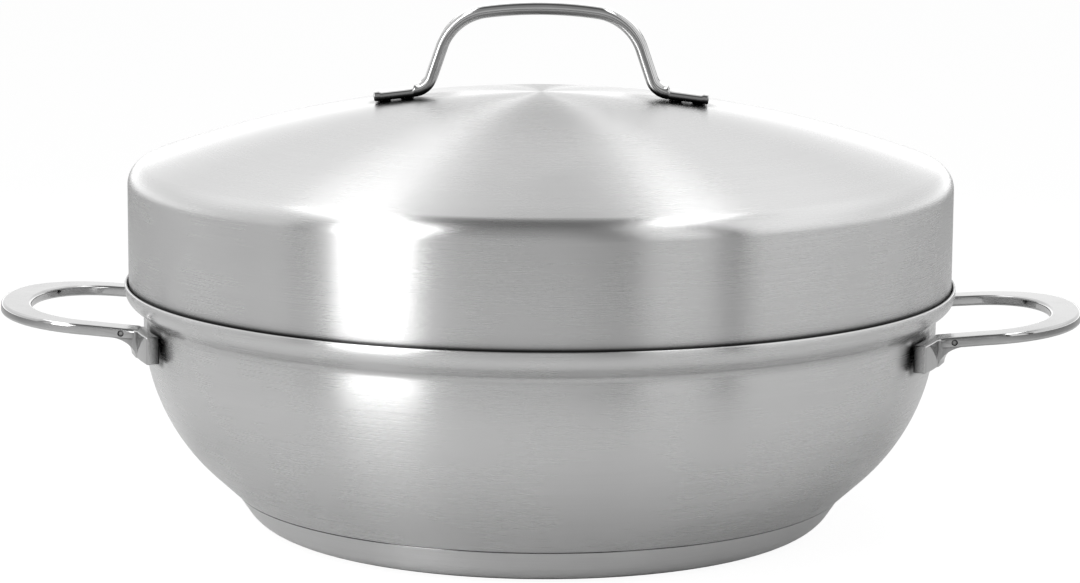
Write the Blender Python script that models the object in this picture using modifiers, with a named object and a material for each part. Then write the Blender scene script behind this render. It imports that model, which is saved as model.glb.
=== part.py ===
"""Stovetop smoker: a round stainless-steel pan with a sandwich base and two loop handles, a tall domed lid
with an arched strap handle, and inside it a drip tray and a welded wire rack.

Metres, +Z up. The pan stands on the XY plane with its axis on Z, and its side handles point along X.
Run it with: blender --background --python part.py
"""

import math

import bmesh
import bpy
from mathutils import Matrix, Vector

# Shared values
CLEARANCE = 0.0003  # between pieces that touch or are welded on the real object
TURN_STEPS = 56  # flats round every turned piece, so that nested walls stay parallel
MERGE = 0.00001

# Sandwich base: an aluminium core between the pan's underside and a pressed steel cap
BASE_HEIGHT = 0.0117
CAP_WALL = 0.0008
CAP_LEAN = math.radians(33.8)  # of the cap's side, from upright
CAP_FILLET = 0.014
CAP_INSET = 0.0002  # of the cap's edge from the pan's own corner

# Pan body, outer surface
PAN_WALL = 0.0009
BOWL_RADIUS = 0.1364  # where the wall stands upright
BOWL_CURVE = 0.068  # radius of the bowl's arc
BOWL_SWEEP = math.radians(47.3)  # of that arc, before the flank runs straight to the base
FLANK_RISE = 0.0085
BOTTOM_CORNER = 0.0015
UPRIGHT = 0.0028  # straight wall between the bowl's arc and the flare
LIP_STEP = 0.0064  # how far the flare goes outwards
LIP_LEAN = math.radians(52)  # of the flare, from upright
LIP_HOLLOW = 0.003  # radius where the flare leaves the wall
LIP_ROUND = 0.006  # radius where the flare turns upright again
LIP_COLLAR = 0.0013  # upright edge above the flare

# Lid
LID_WALL = 0.0008
LID_FIT = 0.0005  # between the skirt and the pan's collar
LID_RISE = 0.0650  # crown above the pan's lip
LID_DOME = 0.407
LID_SHOULDER = 0.008
LID_TUCK = math.radians(45)  # how far the skirt's edge curls in along the pan's flare

# Lid handle: an arched strap, its feet pressed thinner and stud-welded to the dome
STRAP_WIDTH = 0.010
STRAP_THICKNESS = 0.0042
STRAP_EDGE = 0.0011
STRAP_GAP = 0.0008  # air between a foot and the dome, round the weld studs
FOOT_REACH = 0.05025  # from the lid's axis to the middle of a foot
FOOT_LENGTH = 0.0142
FOOT_PRESS = 0.0013
FOOT_END_PRESS = 0.0009
FOOT_RAMP = 0.0008
FOOT_LIP = 0.0018
FOOT_BEND = 0.0066
LEG_STEEPNESS = math.radians(71.2)
LEG_LENGTH = 0.0103
CORNER_RADIUS = 0.0188
CROWN_TURN = math.radians(7.8)
STRAP_STUD_RADIUS = 0.002
STRAP_STUD_SPREAD = 0.004  # from the middle of the foot

# Side handles: a flat band bent to a loop, each leg ending in a gusset and a foot plate
LOOP_DROP = 0.0132  # from the lip down to the loop's middle plane, at the wall
LOOP_OVERHANG = 0.0436  # of the tip, past the pan's lip
LOOP_HALF_WIDTH = 0.0434
LOOP_NOSE = 0.0364  # length of the rounded end
LOOP_FULLNESS = 2.2  # 2 is an ellipse, more is squarer
LOOP_TIP_BAND = 0.0104
LOOP_LEG_BAND = 0.0090
LOOP_THICKNESS = 0.0037
LOOP_EDGE = 0.0011
LOOP_RISE = math.radians(4)
LOOP_SPLAY = math.radians(6)
PLATE_THICKNESS = 0.0045
PLATE_HEIGHT = 0.0093
PLATE_DROP = 0.0004  # of its top below the band's
PLATE_WING = 0.0147  # length of a plate's face, past the outer side of its leg
PLATE_EDGE = 0.0005
PLATE_CORNER = 0.0035  # hollow between a plate and its leg
PLATE_GAP = 0.0007  # air between a plate and the wall, round the weld stud
PLATE_STUD_RADIUS = 0.003
GUSSET_REACH = 0.0100
GUSSET_INSET = 0.0004
DIMPLE_RADIUS = 0.0012
DIMPLE_DEPTH = 0.0007
DIMPLE_OUT = 0.0034  # from the plate's face, along the leg

# Drip tray: a pressed dish that rests on the bowl with four tabs, and lets the smoke by between them
TRAY_WALL = 0.0008
TRAY_HEIGHT = 0.038  # of the flange's underside
TRAY_DEPTH = 0.010
TRAY_FLANGE = 0.0105
TRAY_BROW = 0.002
TRAY_HEEL = 0.004
TRAY_STEEPNESS = math.radians(72)
TAB_COUNT = 4
TAB_TURN = math.radians(20)  # width of a tab, round the tray
TAB_LENGTH = 0.009
TAB_CORNER = 0.005  # hollow beside a tab

# Wire rack
RING_HEIGHT = 0.050  # of the ring wire's middle
RING_WIRE = 0.004
BAR_WIRE = 0.0025
BAR_COUNT = 15
BAR_MARGIN = 0.0214  # from the outermost bars to the ring
BAR_OVERHANG = 0.0010  # past the middle of the ring wire
CROSS_WIRE = 0.003
CROSS_INSET = 0.0699  # from the ring to the cross bars
LUG_WIRE = 0.003
LUG_SPAN = 0.042
LUG_HEIGHT = 0.019
LUG_CORNER = 0.007

# Colours as linear RGB
BRUSHED = ((0.58, 0.58, 0.57), 0.32)
POLISHED = ((0.66, 0.66, 0.65), 0.12)
ALUMINIUM = ((0.62, 0.62, 0.63), 0.45)
WIRE = ((0.60, 0.60, 0.59), 0.2)


def clear_scene():
    for item in list(bpy.data.objects):
        bpy.data.objects.remove(item, do_unlink=True)


def new_collection(name):
    collection = bpy.data.collections.new(name)
    bpy.context.scene.collection.children.link(collection)
    return collection


def finish(name, look):
    """A metal of its own for one piece."""
    colour, roughness = look
    material = bpy.data.materials.new(name + "_metal")
    material.use_nodes = True
    shader = material.node_tree.nodes["Principled BSDF"]
    shader.inputs["Base Color"].default_value = (*colour, 1)
    shader.inputs["Roughness"].default_value = roughness
    shader.inputs["Metallic"].default_value = 1
    return material


def place(piece, look, parent=None):
    """Puts a finished piece in the part's collection, with its material and what carries it."""
    for collection in list(piece.users_collection):
        collection.objects.unlink(piece)
    parts.objects.link(piece)
    piece.data.materials.clear()
    piece.data.materials.append(finish(piece.name, look))
    piece.parent = parent
    return piece


def carrier(name, height):
    """An empty on the axis, at the height where the piece that it carries is seated."""
    empty = bpy.data.objects.new(name, None)
    empty.empty_display_size = 0.02
    empty.location.z = height
    parts.objects.link(empty)
    return empty


def smooth(mesh):
    mesh.shade_smooth()
    mesh.set_sharp_from_angle(angle=math.radians(35))


# Profiles and paths

def arc(centre, radius, start, end, steps):
    """Points on an arc about centre, from one angle to another."""
    turn = (end - start) / steps
    angles = [start + turn * step for step in range(steps + 1)]
    return [(centre[0] + radius * math.cos(a), centre[1] + radius * math.sin(a)) for a in angles]


def trace(point, heading, moves):
    """Follows straight runs (length,) and bends (radius, turn, steps) from a point and a heading.

    A positive turn is to the left. It gives each station as (x, y, heading).
    """
    x, y = point
    stations = [(x, y, heading)]
    for move in moves:
        if len(move) == 1:
            x += move[0] * math.cos(heading)
            y += move[0] * math.sin(heading)
            stations.append((x, y, heading))
            continue
        radius, turn, steps = move
        chord = 2 * radius * math.sin(abs(turn) / steps / 2)
        for _ in range(steps):
            heading += turn / steps / 2
            x += chord * math.cos(heading)
            y += chord * math.sin(heading)
            heading += turn / steps / 2
            stations.append((x, y, heading))
    return stations


def round_off(before, corner, after, radius, steps):
    """Points that round the corner between two straight runs."""
    point = Vector(corner)
    back = (Vector(before) - point).normalized()
    on = (Vector(after) - point).normalized()
    half_angle = back.angle(on) / 2
    middle = point + (back + on).normalized() * radius / math.sin(half_angle)
    start = point + back * radius / math.tan(half_angle) - middle
    end = point + on * radius / math.tan(half_angle) - middle
    turn = start.angle_signed(end)
    points = []
    for step in range(steps + 1):
        spoke = start.copy()
        spoke.rotate(Matrix.Rotation(-turn * step / steps, 2))
        points.append(tuple(middle + spoke))
    return points


def beside(station, distance):
    """The point at a distance to the left of a station."""
    x, y, heading = station
    return (x - distance * math.sin(heading), y + distance * math.cos(heading))


# Ways of making a piece

def turned(name, profile, wall=None):
    """A turned piece from (radius, height) points that run down its outer side, with a wall or solid."""
    mesh = bpy.data.meshes.new(name)
    sketch = bmesh.new()
    points = [sketch.verts.new((radius, 0, height)) for radius, height in profile]
    for upper, lower in zip(points, points[1:]):
        sketch.edges.new((upper, lower))
    sketch.to_mesh(mesh)
    sketch.free()
    piece = bpy.data.objects.new(name, mesh)
    bpy.context.scene.collection.objects.link(piece)
    turn = piece.modifiers.new("Turn", "SCREW")
    turn.steps = turn.render_steps = TURN_STEPS
    turn.use_merge_vertices = True
    turn.merge_threshold = MERGE
    if wall:
        shell = piece.modifiers.new("Wall", "SOLIDIFY")
        shell.thickness = wall
        shell.offset = -1
        shell.use_even_offset = True
    return piece


def curve_object(name, dimensions, points, closed):
    curve = bpy.data.curves.new(name, "CURVE")
    curve.dimensions = dimensions
    spline = curve.splines.new("POLY")
    spline.points.add(len(points) - 1)
    for target, point in zip(spline.points, points):
        target.co = (*point, 1)
    spline.use_cyclic_u = closed
    piece = bpy.data.objects.new(name, curve)
    bpy.context.scene.collection.objects.link(piece)
    return piece


def plate(name, outline, thickness, edge=0):
    """A flat outline with a thickness, about its own XY plane, and its sharp edges rounded."""
    piece = curve_object(name, "2D", [(x, y, 0) for x, y in outline], closed=True)
    piece.data.fill_mode = "BOTH"
    piece.data.extrude = thickness / 2
    if edge:
        weld = piece.modifiers.new("Weld", "WELD")
        weld.merge_threshold = MERGE
        flat = piece.modifiers.new("Flat faces", "DECIMATE")
        flat.decimate_type = "DISSOLVE"
        flat.angle_limit = math.radians(0.5)
        bevel = piece.modifiers.new("Edge", "BEVEL")
        bevel.width = edge
        bevel.segments = 2
        bevel.limit_method = "ANGLE"
        bevel.angle_limit = math.radians(60)
    return piece


def wire(name, points, diameter):
    """A round wire along points, with closed ends."""
    piece = curve_object(name, "3D", points, closed=False)
    piece.data.bevel_depth = diameter / 2
    piece.data.bevel_resolution = 2
    piece.data.use_fill_caps = True
    return piece


def cylinder(name, radius, length, sides, matrix):
    """A cylinder along its own Z, from 0 to length, under the given matrix."""
    mesh = bpy.data.meshes.new(name)
    shape = bmesh.new()
    bmesh.ops.create_cone(
        shape, cap_ends=True, segments=sides, radius1=radius, radius2=radius, depth=length,
        matrix=matrix @ Matrix.Translation((0, 0, length / 2)),
    )
    shape.to_mesh(mesh)
    shape.free()
    piece = bpy.data.objects.new(name, mesh)
    bpy.context.scene.collection.objects.link(piece)
    return piece


def evaluated_mesh(piece):
    """The piece as its modifiers leave it, as one welded mesh in world coordinates."""
    bpy.context.view_layer.update()
    graph = bpy.context.evaluated_depsgraph_get()
    mesh = bpy.data.meshes.new_from_object(piece.evaluated_get(graph))
    mesh.transform(piece.matrix_world)
    shape = bmesh.new()
    shape.from_mesh(mesh)
    bmesh.ops.remove_doubles(shape, verts=shape.verts, dist=MERGE)
    shape.to_mesh(mesh)
    shape.free()
    return mesh


def as_mesh(piece):
    """The same piece as a plain mesh object."""
    made = bpy.data.objects.new(piece.name + "_solid", evaluated_mesh(piece))
    bpy.context.scene.collection.objects.link(made)
    bpy.data.objects.remove(piece, do_unlink=True)
    return made


def fused(name, body, joins=(), cuts=()):
    """One mesh from a body, what is cut from it, and then what is joined to it."""
    work = [(piece, "DIFFERENCE") for piece in cuts] + [(piece, "UNION") for piece in joins]
    for other, operation in work:
        step = body.modifiers.new(operation.title(), "BOOLEAN")
        step.operation = operation
        step.object = other
    mesh = evaluated_mesh(body)
    mesh.name = name
    for piece in [body] + [other for other, _ in work]:
        bpy.data.objects.remove(piece, do_unlink=True)
    smooth(mesh)
    return mesh


# Heights and radii that more than one piece needs

pan_underside = BASE_HEIGHT + CLEARANCE
bowl_middle_radius = BOWL_RADIUS - BOWL_CURVE
bowl_middle_height = pan_underside + FLANK_RISE + BOWL_CURVE * math.sin(BOWL_SWEEP)
flank_foot_radius = (
    bowl_middle_radius + BOWL_CURVE * math.cos(BOWL_SWEEP) - FLANK_RISE * math.tan(BOWL_SWEEP)
)
flare_height = bowl_middle_height + UPRIGHT
flare_run = (LIP_STEP - (LIP_HOLLOW + LIP_ROUND) * (1 - math.cos(LIP_LEAN))) / math.sin(LIP_LEAN)
lip_radius = BOWL_RADIUS + LIP_STEP
lip_middle_radius = lip_radius - LIP_ROUND
lip_middle_height = (
    flare_height + (LIP_HOLLOW + LIP_ROUND) * math.sin(LIP_LEAN) + flare_run * math.cos(LIP_LEAN)
)
lip_top = lip_middle_height + LIP_COLLAR
dome_middle_height = lip_top + LID_RISE - LID_DOME
loop_height = lip_top - LOOP_DROP
nose_start = lip_radius + LOOP_OVERHANG - LOOP_NOSE
plate_back = BOWL_RADIUS + PLATE_GAP


def bowl_outer_radius(height):
    """Radius of the pan's outer wall at a height on the bowl's arc or above it."""
    below = max(bowl_middle_height - height, 0)
    return bowl_middle_radius + math.sqrt(BOWL_CURVE**2 - below**2)


def seat_radius(height, stand_off):
    """Radius at which a point at this height lies stand_off inside the bowl's inner wall."""
    reach = BOWL_CURVE - PAN_WALL - stand_off
    return bowl_middle_radius + math.sqrt(reach**2 - (bowl_middle_height - height) ** 2)


# Pan

def make_pan_body():
    corner = BOTTOM_CORNER * math.tan((math.pi / 2 - BOWL_SWEEP) / 2)
    corner_middle = (flank_foot_radius - corner, pan_underside + BOTTOM_CORNER)
    profile = [(lip_radius, lip_top)]
    profile += arc((lip_middle_radius, lip_middle_height), LIP_ROUND, 0, -LIP_LEAN, 3)
    profile += arc(
        (BOWL_RADIUS + LIP_HOLLOW, flare_height), LIP_HOLLOW, math.pi - LIP_LEAN, math.pi, 2
    )
    profile += arc((bowl_middle_radius, bowl_middle_height), BOWL_CURVE, 0, -BOWL_SWEEP, 7)
    profile += arc(corner_middle, BOTTOM_CORNER, -BOWL_SWEEP, -math.pi / 2, 1)
    profile.append((0, pan_underside))
    return place(turned("pan_body", profile, PAN_WALL), BRUSHED)


def cap_profile(inset, top):
    """The base's side and underside, moved inwards by an inset, from the height top down to the axis."""
    edge_radius = flank_foot_radius - CAP_INSET
    fillet_radius = (
        edge_radius
        - (BASE_HEIGHT - CAP_FILLET * (1 - math.sin(CAP_LEAN))) * math.tan(CAP_LEAN)
        - CAP_FILLET * math.cos(CAP_LEAN)
    )
    top_radius = edge_radius - (BASE_HEIGHT - top) * math.tan(CAP_LEAN) - inset / math.cos(CAP_LEAN)
    profile = [(top_radius, top)]
    profile += arc(
        (fillet_radius, CAP_FILLET), CAP_FILLET - inset, -CAP_LEAN, -math.pi / 2, 3
    )
    profile.append((0, inset))
    return profile


def make_base():
    core = [(0, BASE_HEIGHT)] + cap_profile(CAP_WALL + CLEARANCE, BASE_HEIGHT)
    place(turned("base_core_disc", core), ALUMINIUM)
    inner_side = cap_profile(CAP_WALL, BASE_HEIGHT)[::-1]
    place(turned("base_cap", inner_side + cap_profile(0, BASE_HEIGHT)), BRUSHED)


# Side handles

def leg_side(x, inset):
    """How far from the handle's middle a leg's outer side lies at x, less an inset."""
    return LOOP_HALF_WIDTH - inset + (nose_start - x) * math.tan(LOOP_SPLAY)


def leg_meets(radius, inset):
    """Where a leg's outer side, less an inset, crosses a circle about the pan's axis."""
    slope = math.tan(LOOP_SPLAY)
    start = leg_side(0, inset)
    x = (start * slope + math.sqrt(radius**2 * (1 + slope**2) - start**2)) / (1 + slope**2)
    return x, leg_side(x, inset)


def loop_outline():
    """The band seen from above: out along one leg, round the nose and back, then the inner side."""
    leg_end = leg_meets(plate_back + PLATE_THICKNESS / 2, LOOP_LEG_BAND / 2)[0]

    def side(half_width, nose):
        leg_spread = (nose_start - leg_end) * math.tan(LOOP_SPLAY)
        turns = [math.pi / 2 * step / 8 for step in range(9)]
        power = 2 / LOOP_FULLNESS
        half = [(leg_end, half_width + leg_spread)]
        half += [
            (nose_start + nose * math.sin(a) ** power, half_width * math.cos(a) ** power)
            for a in turns[:-1]
        ]
        return half + [(nose_start + nose, 0)] + [(x, -y) for x, y in reversed(half)]

    outer = side(LOOP_HALF_WIDTH, LOOP_NOSE)
    inner = side(LOOP_HALF_WIDTH - LOOP_LEG_BAND, LOOP_NOSE - LOOP_TIP_BAND)
    return outer + inner[::-1]


def foot_outline():
    """One foot seen from above: a plate along the wall, a hollow corner, and a stub under the leg."""
    face = plate_back + PLATE_THICKNESS
    inner_inset = LOOP_LEG_BAND - GUSSET_INSET
    inner = leg_meets(plate_back, inner_inset)
    inner_turn = math.atan2(inner[1], inner[0])
    corner = leg_meets(face, GUSSET_INSET)
    corner_turn = math.atan2(corner[1], corner[0])
    plate_turn = corner_turn + PLATE_WING / face
    stub_end = corner[0] + GUSSET_REACH + LOOP_LEG_BAND / 4
    tip = (stub_end, leg_side(stub_end, GUSSET_INSET))
    outline = arc((0, 0), plate_back, inner_turn, plate_turn, 4)
    ahead = arc((0, 0), face, plate_turn, corner_turn, 4)[:-2]
    outline += ahead + round_off(ahead[-1], corner, tip, PLATE_CORNER, 3)
    return outline + [tip, (stub_end, leg_side(stub_end, inner_inset))]


def sweep_outline():
    """What is cut away in front of a plate: outwards from its face, and up to the leg's underside."""
    top = LOOP_THICKNESS / 2 - PLATE_DROP
    bottom = top - PLATE_HEIGHT
    under = -LOOP_THICKNESS / 4
    sweep = [math.pi / 2 * step / 6 for step in range(7)]
    curve = [
        (GUSSET_REACH * (1 - math.cos(a)), bottom + (under - bottom) * math.sin(a)) for a in sweep
    ]
    past = 2 * GUSSET_REACH
    return [(0, bottom - PLATE_HEIGHT)] + curve + [(past, under), (past, bottom - PLATE_HEIGHT)]


def make_foot_mesh():
    """The +Y foot of the +X handle, swept down from its leg and with the stud that welds it to the wall."""
    azimuth, _ = leg_at_plate()
    middle = LOOP_THICKNESS / 2 - PLATE_DROP - PLATE_HEIGHT / 2
    turn = Matrix.Rotation(azimuth, 4, "Z")
    foot = plate("foot", foot_outline(), PLATE_HEIGHT, PLATE_EDGE)
    foot.matrix_world = Matrix.Translation((0, 0, middle))
    sweep = plate("sweep", sweep_outline(), 4 * LOOP_LEG_BAND)
    face = plate_back + PLATE_THICKNESS
    sweep.matrix_world = turn @ Matrix.Translation((face, 0, 0)) @ Matrix.Rotation(math.pi / 2, 4, "X")
    stud_start = bowl_outer_radius(loop_height + middle) + CLEARANCE
    stud_place = Matrix.Translation((stud_start, 0, middle)) @ Matrix.Rotation(math.pi / 2, 4, "Y")
    length = plate_back + PLATE_THICKNESS / 2 - stud_start
    stud = cylinder("stud", PLATE_STUD_RADIUS, length, 10, turn @ stud_place)
    return fused("foot", as_mesh(foot), [stud], [as_mesh(sweep)])


def leg_at_plate():
    """Azimuth and X of the point where a leg's middle line meets its plate's face."""
    x, y = leg_meets(plate_back + PLATE_THICKNESS, LOOP_LEG_BAND / 2)
    return math.atan2(y, x), x


def make_side_handle_mesh():
    """The +X handle, with its middle plane at Z 0 at the wall."""
    _, leg_x = leg_at_plate()
    leg_y = leg_side(leg_x, LOOP_LEG_BAND / 2)
    tilt = (
        Matrix.Translation((leg_x, 0, 0))
        @ Matrix.Rotation(-LOOP_RISE, 4, "Y")
        @ Matrix.Translation((-leg_x, 0, 0))
    )
    loop = plate("loop", loop_outline(), LOOP_THICKNESS, LOOP_EDGE)
    loop.matrix_world = tilt
    foot_mesh = make_foot_mesh()
    joins = []
    cuts = []
    for side in (1, -1):
        mesh = foot_mesh.copy()
        if side < 0:
            mesh.transform(Matrix.Scale(-1, 4, (0, 1, 0)))
            mesh.flip_normals()
        foot = bpy.data.objects.new("foot", mesh)
        bpy.context.scene.collection.objects.link(foot)
        joins.append(foot)
        outwards = Matrix.Translation((leg_x, side * leg_y, 0)) @ Matrix.Rotation(
            -side * LOOP_SPLAY, 4, "Z"
        )
        middle = LOOP_LEG_BAND / 2 + DIMPLE_RADIUS - DIMPLE_DEPTH
        cuts.append(dimple(tilt @ outwards @ Matrix.Translation((DIMPLE_OUT, side * middle, 0))))
    return fused("side_handle", as_mesh(loop), joins, cuts)


def dimple(matrix):
    """A small ball, pressed into the outer side of a leg."""
    mesh = bpy.data.meshes.new("dimple")
    ball = bmesh.new()
    bmesh.ops.create_uvsphere(ball, u_segments=8, v_segments=4, radius=DIMPLE_RADIUS, matrix=matrix)
    ball.to_mesh(mesh)
    ball.free()
    piece = bpy.data.objects.new("dimple", mesh)
    bpy.context.scene.collection.objects.link(piece)
    return piece


def make_side_handles():
    mesh = make_side_handle_mesh()
    for name, turn, shape in (
        ("side_handle_right", 0, mesh),
        ("side_handle_left", math.pi, mesh.copy()),
    ):
        handle = bpy.data.objects.new(name, shape)
        handle.location.z = loop_height
        handle.rotation_euler.z = turn
        bpy.context.scene.collection.objects.link(handle)
        place(handle, POLISHED)


# Lid

def make_lid_shell(lift):
    skirt_radius = lip_middle_radius + skirt_reach()
    shoulder_radius = skirt_radius - LID_SHOULDER
    shoulder_height = dome_middle_height + math.sqrt(
        (LID_DOME - LID_SHOULDER) ** 2 - shoulder_radius**2
    )
    meeting = math.atan2(shoulder_height - dome_middle_height, shoulder_radius)
    profile = arc((0, dome_middle_height), LID_DOME, math.pi / 2, meeting, 4)
    profile += arc((shoulder_radius, shoulder_height), LID_SHOULDER, meeting, 0, 4)[1:]
    profile += arc((lip_middle_radius, lip_middle_height), skirt_reach(), 0, -LID_TUCK, 2)
    profile[0] = (0, profile[0][1])
    seat = lift.location.z
    profile = [(radius, height - seat) for radius, height in profile]
    return place(turned("lid_shell", profile, LID_WALL), BRUSHED, lift)


def skirt_reach():
    """Radius of the skirt's tucked edge, about the middle of the lip's round."""
    return LIP_ROUND - PAN_WALL - LID_FIT


def strap_stations():
    """Half of the strap's middle line, from the crown to the end of the right foot, and each one's press."""
    stand_off = LID_DOME + STRAP_GAP + STRAP_THICKNESS / 2
    slope = math.asin(FOOT_REACH / stand_off)
    steep = LEG_STEEPNESS
    beyond_crown = (
        CORNER_RADIUS * (math.sin(steep) - math.sin(CROWN_TURN))
        + LEG_LENGTH * math.cos(steep)
        + FOOT_BEND * (math.sin(steep) - math.sin(slope))
        + FOOT_LENGTH / 2 * math.cos(slope)
    )
    crown_radius = (FOOT_REACH - beyond_crown) / math.sin(CROWN_TURN)
    rise = (
        crown_radius * (1 - math.cos(CROWN_TURN))
        + CORNER_RADIUS * (math.cos(CROWN_TURN) - math.cos(steep))
        + LEG_LENGTH * math.sin(steep)
        + FOOT_BEND * (math.cos(slope) - math.cos(steep))
        + FOOT_LENGTH / 2 * math.sin(slope)
    )
    crown = (0, dome_middle_height + stand_off * math.cos(slope) + rise)
    flat = FOOT_LENGTH - 2 * FOOT_RAMP - FOOT_LIP
    moves = [
        (crown_radius, -CROWN_TURN, 2),
        (CORNER_RADIUS, CROWN_TURN - steep, 6),
        (LEG_LENGTH,),
        (FOOT_BEND, steep - slope, 4),
        (FOOT_RAMP,),
        (flat,),
        (FOOT_RAMP,),
        (FOOT_LIP,),
    ]
    stations = trace(crown, 0, moves)
    pressed = [FOOT_PRESS, FOOT_PRESS, FOOT_END_PRESS, FOOT_END_PRESS]
    return list(zip(stations, [0] * (len(stations) - len(pressed)) + pressed)), slope


def make_lid_handle(lift):
    half, slope = strap_stations()
    outer = [beside(station, STRAP_THICKNESS / 2 - press) for station, press in half]
    inner = [beside(station, -STRAP_THICKNESS / 2) for station, press in half]
    right = outer + inner[::-1]
    left_outer = [(-x, y) for x, y in outer[1:]]
    left_inner = [(-x, y) for x, y in inner[1:]]
    outline = right + left_inner + left_outer[::-1]
    strap = plate("strap", outline, STRAP_WIDTH, STRAP_EDGE)
    strap.matrix_world = Matrix.Rotation(math.pi / 2, 4, "X")
    studs = []
    for side in (1, -1):
        for shift in (STRAP_STUD_SPREAD, -STRAP_STUD_SPREAD):
            lean = side * (slope + shift / LID_DOME)
            matrix = (
                Matrix.Translation((0, 0, dome_middle_height))
                @ Matrix.Rotation(lean, 4, "Y")
                @ Matrix.Translation((0, 0, LID_DOME + CLEARANCE))
            )
            length = STRAP_GAP - CLEARANCE + STRAP_THICKNESS / 4
            studs.append(cylinder("stud", STRAP_STUD_RADIUS, length, 10, matrix))
    mesh = fused("lid_handle", as_mesh(strap), studs)
    mesh.transform(Matrix.Translation((0, 0, -lift.location.z)))
    handle = bpy.data.objects.new("lid_handle", mesh)
    return place(handle, POLISHED, lift)


# Drip tray

def make_drip_tray(lift):
    edge_radius = seat_radius(TRAY_HEIGHT, CLEARANCE)
    wall_run = (
        TRAY_DEPTH - (TRAY_BROW + TRAY_HEEL) * (1 - math.cos(TRAY_STEEPNESS))
    ) / math.sin(TRAY_STEEPNESS)
    moves = [
        (TRAY_FLANGE,),
        (TRAY_BROW, TRAY_STEEPNESS, 2),
        (wall_run,),
        (TRAY_HEEL, -TRAY_STEEPNESS, 2),
    ]
    profile = [(x, y) for x, y, _ in trace((edge_radius, 0), math.pi, moves)]
    profile.append((0, profile[-1][1]))
    tray = turned("drip_tray", profile, TRAY_WALL)

    cutter = bpy.data.objects.new("smoke_gaps", bpy.data.meshes.new("smoke_gaps"))
    gaps = bmesh.new()
    for index in range(TAB_COUNT):
        turn = Matrix.Rotation(2 * math.pi * index / TAB_COUNT, 4, "Z")
        outline = [gaps.verts.new(turn @ Vector((x, y, -3 * TRAY_WALL))) for x, y in gap_outline(edge_radius)]
        grown = bmesh.ops.extrude_face_region(gaps, geom=[gaps.faces.new(outline)], use_keep_orig=True)
        upper = [item for item in grown["geom"] if isinstance(item, bmesh.types.BMVert)]
        bmesh.ops.translate(gaps, verts=upper, vec=(0, 0, 6 * TRAY_WALL))
    bmesh.ops.recalc_face_normals(gaps, faces=gaps.faces)
    gaps.to_mesh(cutter.data)
    gaps.free()
    cutters.objects.link(cutter)
    cutter.parent = lift
    cutter.hide_render = True
    cutter.display_type = "WIRE"
    cut = tray.modifiers.new("Smoke gaps", "BOOLEAN")
    cut.operation = "DIFFERENCE"
    cut.object = cutter
    return place(tray, BRUSHED, lift)


def gap_outline(edge_radius):
    """The gap between two tabs from above, about the X axis and out past the tray's edge."""
    half_turn = math.pi / TAB_COUNT - TAB_TURN / 2
    across = edge_radius - TAB_LENGTH
    past = edge_radius + TAB_LENGTH
    floor = arc((0, 0), across, -half_turn, half_turn, 8)
    inside = floor[1:-1]
    low_tip = (past * math.cos(half_turn), -past * math.sin(half_turn))
    high_tip = (low_tip[0], -low_tip[1])
    low = round_off(low_tip, floor[0], inside[0], TAB_CORNER, 3)
    high = round_off(inside[-1], floor[-1], high_tip, TAB_CORNER, 3)
    return [low_tip] + low + inside + high + [high_tip, (past * 1.3, 0)]


# Wire rack, with heights taken from the middle of its ring

def make_rack(lift):
    ring_radius = seat_radius(RING_HEIGHT, CLEARANCE + RING_WIRE / 2)
    bpy.ops.mesh.primitive_torus_add(
        major_radius=ring_radius, minor_radius=RING_WIRE / 2,
        major_segments=TURN_STEPS, minor_segments=8,
    )
    ring = bpy.context.object
    ring.name = ring.data.name = "rack_ring"
    smooth(ring.data)
    place(ring, WIRE, lift)

    bar_height = RING_WIRE / 2 + CLEARANCE + BAR_WIRE / 2
    pitch = 2 * (ring_radius - BAR_MARGIN) / (BAR_COUNT - 1)
    for index in range(BAR_COUNT):
        y = pitch * (index - (BAR_COUNT - 1) / 2)
        reach = math.sqrt(ring_radius**2 - y**2) + BAR_OVERHANG
        points = [(-reach, y, bar_height), (reach, y, bar_height)]
        place(wire(f"rack_bar_{index + 1:02d}", points, BAR_WIRE), WIRE, lift)

    cross_height = RING_WIRE / 2 - CROSS_WIRE / 2
    inside = ring_radius - RING_WIRE / 2 - CLEARANCE
    for name, side in (("rack_cross_bar_right", 1), ("rack_cross_bar_left", -1)):
        x = side * (ring_radius - CROSS_INSET)
        reach = math.sqrt(inside**2 - (abs(x) + CROSS_WIRE / 2) ** 2)
        points = [(x, -reach, cross_height), (x, reach, cross_height)]
        place(wire(name, points, CROSS_WIRE), WIRE, lift)

    lug_foot = RING_WIRE / 2 + CLEARANCE
    lug_y = math.sqrt(ring_radius**2 - (LUG_SPAN / 2) ** 2)
    moves = [
        (LUG_HEIGHT - LUG_CORNER,),
        (LUG_CORNER, -math.pi / 2, 3),
        (LUG_SPAN - 2 * LUG_CORNER,),
        (LUG_CORNER, -math.pi / 2, 3),
        (LUG_HEIGHT - LUG_CORNER,),
    ]
    arch = trace((-LUG_SPAN / 2, lug_foot), math.pi / 2, moves)
    for name, y in (("rack_lug_front", -lug_y), ("rack_lug_back", lug_y)):
        place(wire(name, [(x, y, z) for x, z, _ in arch], LUG_WIRE), WIRE, lift)


clear_scene()
parts = new_collection("stovetop_smoker")
cutters = new_collection("cutters")
tray_lift = carrier("tray_lift", TRAY_HEIGHT)
rack_lift = carrier("rack_lift", RING_HEIGHT)
lid_lift = carrier("lid_lift", lip_middle_height)
make_pan_body()
make_base()
make_side_handles()
make_lid_shell(lid_lift)
make_lid_handle(lid_lift)
make_drip_tray(tray_lift)
make_rack(rack_lift)
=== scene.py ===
"""The looks of a stovetop smoker: brushed steel pan and domed lid, polished handles, drip tray and rack."""

import logging
from dataclasses import dataclass, field
from enum import Enum
from functools import cache
from math import asin, atan2, copysign, cos, pi, radians, sin, sqrt, tan, tau

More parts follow.
